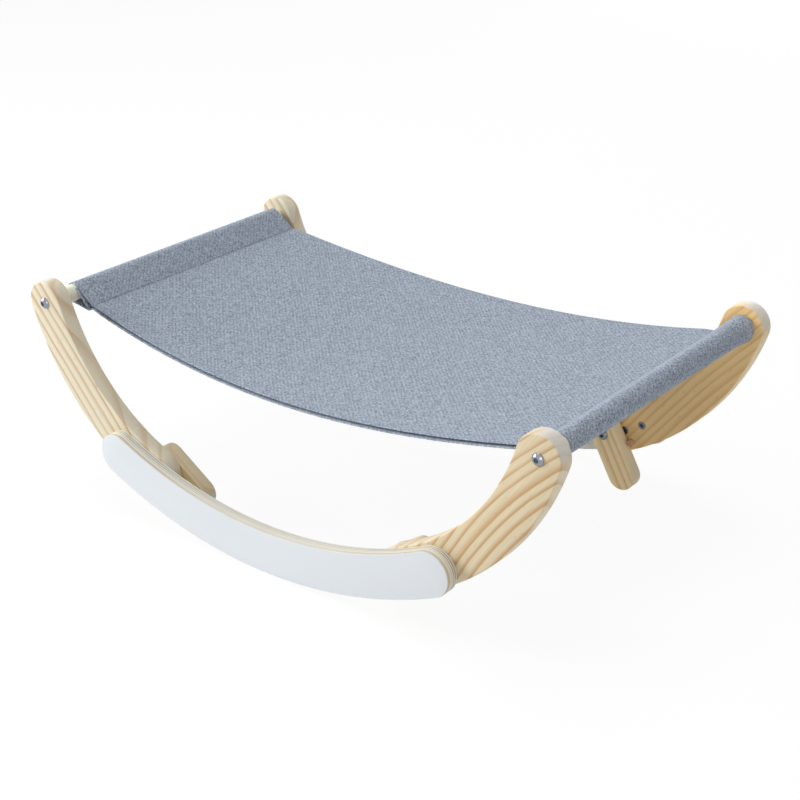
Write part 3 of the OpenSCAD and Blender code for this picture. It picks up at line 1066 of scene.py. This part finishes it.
class HAMMOCK_OT_pegs(PieceOperator, bpy.types.Operator):
    """Model the four stop pegs"""

    bl_idname = "hammock.pegs"
    bl_label = "Stop pegs"

    def execute(self, context):
        self.prepare(context)
        sizes, places = self.sizes, self.places
        peg = round_bar("peg", sizes.peg_across / 2, places.peg, ARM_IN - sizes.peg_out, PEG_END)
        with editing(peg):
            round_edges(sizes.peg_round)
        copies = [copy(peg, "stop_peg", matrix) for matrix in CORNERS.values()]
        bpy.data.objects.remove(peg)
        pegs = join(copies, "stop_pegs_wood")
        settle(pegs, peg_wood("dowel_wood", self.tints.peg), "peg_wood", "stop_pegs")
        return {"FINISHED"}


class HAMMOCK_OT_hidden_metal(PieceOperator, bpy.types.Operator):
    """Finish the washers and threaded inserts, whose shape the frame holds"""

    bl_idname = "hammock.hidden_metal"
    bl_label = "Washers and inserts"

    def execute(self, context):
        self.prepare(context)
        dress("pivot_washers", metal("zinc", self.tints.zinc, roughness=0.25, scratch=0.1))
        brass = metal("brass", self.tints.brass, roughness=0.2, scratch=0.1)
        for node in ("rod_inserts", "rocker_inserts", "pivot_inserts"):
            dress(node, brass)
        return {"FINISHED"}


# The sling: one cloth sewn into a flat tube round both rods, with a seam across it beside each rod

# Steps along half the bed, up a sleeve's slope, round a rod, underneath, round a bend or hem, and across
BED_STEPS = 48
SLOPE_STEPS = 12
WRAP_STEPS = 30
HANG_STEPS = 22
HEM_STEPS = 6
MIDDLE_COLUMNS = 40

# Where the first points beside a seam lie, as shares of a sleeve's slope and of half the bed
BESIDE_SEAM = 0.03
BED_BESIDE_SEAM = 0.003

# How fast the bed's two cloths part beside a seam, and the curve in which the right sleeve widens
GAP_RISE = 12
FLARE_CURVE = 1.5

# Where a sleeve leaves its rod underneath, as a direction from the rod
WRAP_END = math.radians(-97)

# Lower corner of a sleeve: its place inwards and down from the rod, the share of the slack that lowers it,
# and the lengths before and after it that are bent round
KNEE_IN = 0.0212
KNEE_DOWN = 0.0128
KNEE_SLACK = 0.25
KNEE_BEFORE = 0.003
KNEE_AFTER = 0.002

# The cloth's end inside a sleeve: where it begins beside the lower corner, its gap to the rod, and its last
# points on the rod with the turn from one to the next
FOLD_BEGIN = 0.0018 * Vector((0.32, 0, 0.95))
FOLD_GAP = 0.00005
FOLD_POINTS = 4
FOLD_TURN = math.radians(2)

# Ripples beside the seams: how far they reach and where they begin, and for each wave its share, its radians
# in a metre across and along the sling, and its start
RIPPLE_REACH = 0.05
RIPPLE_BEGIN = 0.006
RIPPLES = ((1, 118, 9, 0), (0.6, 211, 0, 1.3))

# Stitches: their distance from the seam and from the cloth, their sides, and how their ends taper and dip
STITCH_INSET = 0.0014
STITCH_GAP = 0.00005
STITCH_SIDES = 8
STITCH_TAPER = 0.6
STITCH_DIP = 0.45


def mirrored(points):
    """Points of a right half, for the left half and in the other order."""
    return [Vector((-point.x, point.y, point.z)) for point in reversed(points)]


class Sling:
    """Shape of the cloth's middle surface: a closed loop at each place across the sling"""

    def __init__(self, sizes, rod):
        self.sizes = sizes
        self.rod = rod
        self.half = sizes.thickness / 2
        self.wrap = ROD_R + sizes.rod_slack + self.half
        self.seam = rod - Vector((sizes.sleeve_length, 0, sizes.seam_drop))

    def bed(self, share, v, side):
        """Upper (1) or lower (-1) cloth of the bed, share and v from -1 to 1 along and across it."""
        sizes = self.sizes
        hollow = 1 - share**2
        width = (SLING_REAR - SLING_FRONT) / 2
        lip = max(0.0, 1 - (1 - abs(v)) * width / sizes.lip_reach)
        gap = (sizes.bed_gap + sizes.lip_gap * lip) * min(1.0, GAP_RISE * hollow)
        drop = (sizes.sag - sizes.sag_skew * v + sizes.twist * v * share) * hollow
        drop += sizes.seam_groove if share == -1 else 0
        ahead = sizes.lower_reach if side < 0 else 0
        return Vector((share * self.seam.x, -ahead, self.seam.z - drop + side * (self.half + gap / 2)))

    def knee(self, slack):
        """Lower corner of the right sleeve."""
        return self.rod + Vector((-KNEE_IN, 0, -KNEE_DOWN - slack * KNEE_SLACK))

    def sleeve(self, slack, flare=0.0):
        """Points round the right rod, from the seam's upper cloth to its lower one."""
        top = self.seam + Vector((0, 0, self.half))
        wrap = self.wrap + flare
        to_rod = self.rod - top
        over = math.atan2(to_rod.z, to_rod.x) + math.asin(wrap / to_rod.length) + math.pi / 2
        above = self.rod + wrap * along(over)
        points = [top.lerp(above, BESIDE_SEAM)]
        points += [top.lerp(above, step / SLOPE_STEPS) for step in range(1, SLOPE_STEPS)]
        for step in range(WRAP_STEPS + 1):
            turn = over + (WRAP_END - over) * step / WRAP_STEPS
            loose = max(0.0, -math.sin(turn)) ** 2
            points.append(self.rod + (wrap + (slack - flare / 2) * loose) * along(turn))
        low = points[-1]
        knee = self.knee(slack)
        last = self.seam - Vector((0, 0, self.half))
        before = knee + KNEE_BEFORE * (low - knee).normalized()
        after = knee + KNEE_AFTER * (last - knee).normalized()
        points += [low.lerp(before, step / HANG_STEPS) for step in range(1, HANG_STEPS)]
        for step in range(HEM_STEPS + 1):
            t = step / HEM_STEPS
            points.append(before.lerp(knee, t).lerp(knee.lerp(after, t), t))
        points += [after.lerp(last, step / HEM_STEPS) for step in range(1, HEM_STEPS)]
        for index, point in enumerate(points):
            point.y = -self.sizes.lower_reach * index / len(points)
        return points

    def fold(self, slack):
        """Points of the cloth's end inside the right sleeve, from its lower corner up onto the rod."""
        radius = ROD_R + self.half / 2 + FOLD_GAP
        begin = self.knee(slack) + FOLD_BEGIN
        from_rod = begin - self.rod
        turn = math.atan2(from_rod.z, from_rod.x) % (2 * math.pi) - math.acos(radius / from_rod.length)
        touch = self.rod + radius * along(turn)
        points = [begin.lerp(touch, step / SLOPE_STEPS) for step in range(SLOPE_STEPS)]
        points += [self.rod + radius * along(turn - FOLD_TURN * step) for step in range(FOLD_POINTS)]
        for point in points:
            point.y = -self.sizes.fold_reach
        return points

    def loop(self, v):
        """Points round the whole tube: the upper bed, the right sleeve, the lower bed, the left sleeve."""
        sizes = self.sizes
        shares = [step / BED_STEPS for step in range(1 - BED_STEPS, BED_STEPS)]
        near_seam = 1 - BED_BESIDE_SEAM
        shares = [-1, -near_seam, *shares, near_seam, 1]
        skew = sizes.slack_skew * v
        inwards = (1 - v) * (SLING_REAR - SLING_FRONT) / 2
        flare = sizes.flare * max(0.0, 1 - inwards / sizes.flare_reach) ** FLARE_CURVE
        right = self.sleeve(sizes.right_slack + skew, flare)
        left = mirrored(self.sleeve(sizes.left_slack + skew / 2))
        upper = [self.bed(share, v, 1) for share in shares]
        lower = [self.bed(share, v, -1) for share in reversed(shares)]
        return upper + right + lower + left

    def edge(self, point, front):
        """Y of the front or rear edge beside a point."""
        lean = point.x / self.rod.x
        if not front:
            return SLING_REAR + self.sizes.rear_skew * lean
        return SLING_FRONT - self.sizes.front_skew * lean + point.y

    def section(self, half):
        """The cloth's section with its round hems: shares of the width, distances in and heights."""
        middle = [(column + 1) / (MIDDLE_COLUMNS + 1) for column in range(MIDDLE_COLUMNS)]
        turns = [math.pi * (step / HEM_STEPS - 0.5) for step in range(HEM_STEPS + 1)]
        near = [(0, half * (1 - math.cos(turn)), half * math.sin(turn)) for turn in turns]
        far = [(1, -inset, -height) for _, inset, height in near]
        outer = [(share, 0, half) for share in middle]
        inner = [(share, 0, -half) for share in reversed(middle)]
        return near + outer + far + inner

    def wave(self, place):
        """Soft ripples that fade away from the seams."""
        gap = self.seam.x - abs(place.x)
        if gap < 0:
            return 0.0
        fade = math.exp(-gap / RIPPLE_REACH) * min(1.0, gap / RIPPLE_BEGIN)
        swing = sum(
            share * math.sin(place.y * wide + place.x * lengthwise + begin)
            for share, wide, lengthwise, begin in RIPPLES
        )
        return self.sizes.ripple * swing * fade


class HAMMOCK_OT_sling(PieceOperator, bpy.types.Operator):
    """Model the sling as one cloth tube, sewn across beside both rods"""

    bl_idname = "hammock.sling"
    bl_label = "Sling"

    def skin(self, mesh, uv, sling, path_at, closed, half, start_run):
        """Thicken one path across the sling into a closed sheet and return the run at its end."""
        grid = []
        for share, inset, height in sling.section(half):
            path = path_at(2 * share - 1)
            column = []
            for index, point in enumerate(path):
                ahead = path[(index + 1) % len(path)] if closed else path[min(index + 1, len(path) - 1)]
                behind = path[index - 1] if closed else path[max(index - 1, 0)]
                slope = ahead - behind
                normal = Vector((-slope.z, 0, slope.x)).normalized()
                front = sling.edge(point, True)
                y = front + (sling.edge(point, False) - front) * share + inset
                place = Vector((point.x, y, point.z)) + normal * height
                place.z += sling.wave(place)
                column.append(mesh.verts.new(place))
            grid.append(column)
        path = path_at(0)
        runs = [start_run]
        for before, after in zip(path, path[1:] + path[:1]):
            runs.append(runs[-1] + (after - before).length)
        count = len(path)
        spans = count if closed else count - 1
        for index, column in enumerate(grid):
            beside = grid[(index + 1) % len(grid)]
            for step in range(spans):
                ahead = (step + 1) % count
                face = mesh.faces.new((column[step], column[ahead], beside[ahead], beside[step]))
                for corner, run in zip(face.loops, (step, step + 1, step + 1, step)):
                    corner[uv].uv = (runs[run], corner.vert.co.y)
        if not closed:
            for step in (0, count - 1):
                mesh.faces.new([column[step] for column in grid])
        return runs[spans]

    def execute(self, context):
        self.prepare(context)
        sling = Sling(self.sling, self.places.rod)
        mesh = bmesh.new()
        uv = mesh.loops.layers.uv.new("cloth")
        right = sling.fold(self.sling.right_slack)
        left = mirrored(sling.fold(self.sling.left_slack))
        total = self.skin(mesh, uv, sling, sling.loop, True, sling.half, 0.0)
        total = self.skin(mesh, uv, sling, lambda v: right, False, sling.half / 2, total)
        total = self.skin(mesh, uv, sling, lambda v: left, False, sling.half / 2, total)
        data = bpy.data.meshes.new("sling_cloth")
        mesh.to_mesh(data)
        mesh.free()
        cloth = bpy.data.objects.new("sling_cloth", data)
        context.collection.objects.link(cloth)
        with editing(cloth):
            bpy.ops.mesh.normals_make_consistent(inside=False)
        weave = linen("heathered_linen", self.tints, self.sling.thread_pitch)
        nodes = ("sling_bed", "left_sleeve", "right_sleeve")
        settle(cloth, weave, "sling_cloth", *nodes, smooth=math.radians(50))
        stitches = self.stitches(sling)
        return {"FINISHED"}

    def stitches(self, sling):
        """Rows of stitches along both seams, above and below the cloth."""
        sizes = self.sling
        stitch = start(
            "stitch",
            bpy.ops.mesh.primitive_cylinder_add,
            vertices=STITCH_SIDES,
            radius=sizes.stitch_across / 2,
            depth=sizes.stitch_length,
            rotation=(math.pi / 2, 0, 0),
        )
        with editing(stitch):
            bpy.ops.mesh.subdivide(number_cuts=1)
            pick("VERT", lambda vertex: abs(vertex.co.y) > sizes.stitch_length / 4)
            bpy.ops.transform.resize(value=(STITCH_TAPER, 1, STITCH_TAPER))
            bpy.ops.transform.translate(value=(0, 0, -sizes.stitch_across * STITCH_DIP))
        rows = []
        for end in (-1, 1):
            edge = sling.seam.copy()
            edge.x *= end
            front = sling.edge(edge, True) + sizes.stitch_pitch
            count = int((SLING_REAR - front) / sizes.stitch_pitch)
            for side in (1, -1):
                level = edge.z + side * (sizes.thickness + STITCH_GAP)
                spot = Vector((edge.x - end * STITCH_INSET, front, level))
                spot.z -= 2 * sizes.sag * STITCH_INSET / sling.seam.x
                face = Matrix.Rotation(0 if side > 0 else math.pi, 4, "Y")
                row = copy(stitch, "stitch_row", Matrix.Translation(spot) @ face)
                apply_modifier(
                    row,
                    "ARRAY",
                    count=count,
                    use_relative_offset=False,
                    use_constant_offset=True,
                    constant_offset_displace=(0, sizes.stitch_pitch, 0),
                )
                rows.append(row)
        bpy.data.objects.remove(stitch)
        sewn = join(rows, "seam_stitches")
        settle(sewn, sewing_thread("sewing_thread", self.tints.sewing), "sling_cloth", smooth=math.pi)
        return sewn


# Stage: the floor's size, the share of plain white in what shows of it, and the light from all round
FLOOR_SIZE = 12
FLOOR_WHITE = 0.93
AMBIENT = 0.02

# Soft lamps, which all point at one place: name, place, size and power in watts
LAMP_AIM = Vector((0, 0, 0.1))
LAMPS = (
    ("key", (-2.6, -1.6, 1.3), 1.6, 92),
    ("top", (-0.3, 0.0, 2.6), 2.0, 47),
    ("front_fill", (1.7, -2.1, 0.9), 1.6, 12),
    ("right_fill", (2.7, 0.0, 0.5), 1.6, 10),
    ("rear_fill", (-0.6, 2.9, 0.8), 1.8, 24),
)

# Camera: its place, its yaw, pitch and roll in degrees, and its sensor and lens in millimetres
CAMERA_PLACE = (0.83783, -1.02817, 0.70009)
CAMERA_TURNS = (38.79, -24.44, -1.16)
CAMERA_SENSOR = 36
CAMERA_LENS = 71.97


class HAMMOCK_OT_stage(PieceOperator, bpy.types.Operator):
    """Set the floor, the light and the camera"""

    bl_idname = "hammock.stage"
    bl_label = "Stage"

    def execute(self, context):
        self.prepare(context)
        self.floor()
        self.world(context)
        for lamp in LAMPS:
            self.lamp(*lamp)
        self.camera(context)
        context.scene.view_settings.view_transform = "Standard"
        return {"FINISHED"}

    def seen(self, wire):
        """1 for rays from the camera and for mirrored and refracted ones, and 0 for the light's own."""
        rays = ("Is Camera Ray", "Is Glossy Ray", "Is Transmission Ray")
        camera, glossy, clear = (wire.node("LightPath", output=name) for name in rays)
        return wire.maths("MAXIMUM", wire.maths("MAXIMUM", camera, glossy), clear)

    def floor(self):
        """Pale floor: white to the camera with a faint shadow, and dull to the light that it sends back."""
        floor = start("floor", bpy.ops.mesh.primitive_plane_add, size=FLOOR_SIZE)
        material = bpy.data.materials.new("pale_floor")
        material.use_nodes = True
        tree = material.node_tree
        tree.nodes.remove(tree.nodes["Principled BSDF"])
        wire = Wire(tree)
        matte = wire.node("BsdfDiffuse", {"Color": (*self.tints.floor, 1)})
        glow = wire.node("Emission", {"Strength": 1.0})
        shown = wire.node("MixShader", {0: FLOOR_WHITE, 1: matte, 2: glow})
        dull = wire.node("BsdfDiffuse", {"Color": (*self.tints.bounce, 1)})
        surface = wire.node("MixShader", {0: self.seen(wire), 1: dull, 2: shown})
        tree.links.new(surface.socket, tree.nodes["Material Output"].inputs["Surface"])
        floor.data.materials.append(material)

    def world(self, context):
        """Soft grey light all round that the camera sees as white."""
        world = bpy.data.worlds.new("studio")
        context.scene.world = world
        world.use_nodes = True
        tree = world.node_tree
        wire = Wire(tree)
        strength = self.seen(wire) * (1 - AMBIENT) + AMBIENT
        tree.links.new(strength.socket, tree.nodes["Background"].inputs["Strength"])
        tree.nodes["Background"].inputs["Color"].default_value = (1, 1, 1, 1)

    def lamp(self, name, place, size, power):
        """Square soft lamp that points at the hammock."""
        bpy.ops.object.light_add(type="AREA", location=place)
        lamp = bpy.context.object
        lamp.name = name
        lamp.data.size = size
        lamp.data.energy = power
        lamp.rotation_euler = (LAMP_AIM - Vector(place)).to_track_quat("-Z", "Y").to_euler()

    def camera(self, context):
        """Camera where the photograph was taken from, in an 800 by 800 frame."""
        yaw, pitch, roll = (math.radians(turn) for turn in CAMERA_TURNS)
        bpy.ops.object.camera_add(location=CAMERA_PLACE)
        camera = bpy.context.object
        turn = Matrix.Rotation(yaw, 3, "Z") @ Matrix.Rotation(math.pi / 2 + pitch, 3, "X")
        camera.rotation_euler = (turn @ Matrix.Rotation(roll, 3, "Z")).to_euler()
        camera.data.sensor_width = CAMERA_SENSOR
        camera.data.lens = CAMERA_LENS
        context.scene.camera = camera


class HAMMOCK_PT_pieces(bpy.types.Panel):
    """Sidebar panel with the sizes, the colours and the steps"""

    bl_idname = "HAMMOCK_PT_pieces"
    bl_label = "Cat Hammock"
    bl_space_type = "VIEW_3D"
    bl_region_type = "UI"
    bl_category = "Hammock"

    def draw(self, context):
        for operator in OPERATORS:
            self.layout.operator(operator.bl_idname)
        for name in GROUPS:
            settings = getattr(context.scene, name)
            column = self.layout.column(align=True)
            for key in settings.__annotations__:
                column.prop(settings, key)


OPERATORS = (
    HAMMOCK_OT_arms,
    HAMMOCK_OT_rockers,
    HAMMOCK_OT_facings,
    HAMMOCK_OT_rods,
    HAMMOCK_OT_legs,
    HAMMOCK_OT_button_bolts,
    HAMMOCK_OT_sunk_bolts,
    HAMMOCK_OT_pegs,
    HAMMOCK_OT_hidden_metal,
    HAMMOCK_OT_sling,
    HAMMOCK_OT_stage,
)
GROUPS = {"hammock_sizes": HammockSizes, "hammock_sling": SlingSizes, "hammock_colours": HammockColours}
CLASSES = (*GROUPS.values(), *OPERATORS, HAMMOCK_PT_pieces)


def register():
    for each in CLASSES:
        bpy.utils.register_class(each)
    for name, group in GROUPS.items():
        setattr(bpy.types.Scene, name, bpy.props.PointerProperty(type=group))


def unregister():
    for name in GROUPS:
        delattr(bpy.types.Scene, name)
    for each in reversed(CLASSES):
        bpy.utils.unregister_class(each)


def main():
    register()
    for operator in OPERATORS:
        group, name = operator.bl_idname.split(".")
        getattr(getattr(bpy.ops, group), name)()


if __name__ == "__main__":
    main()
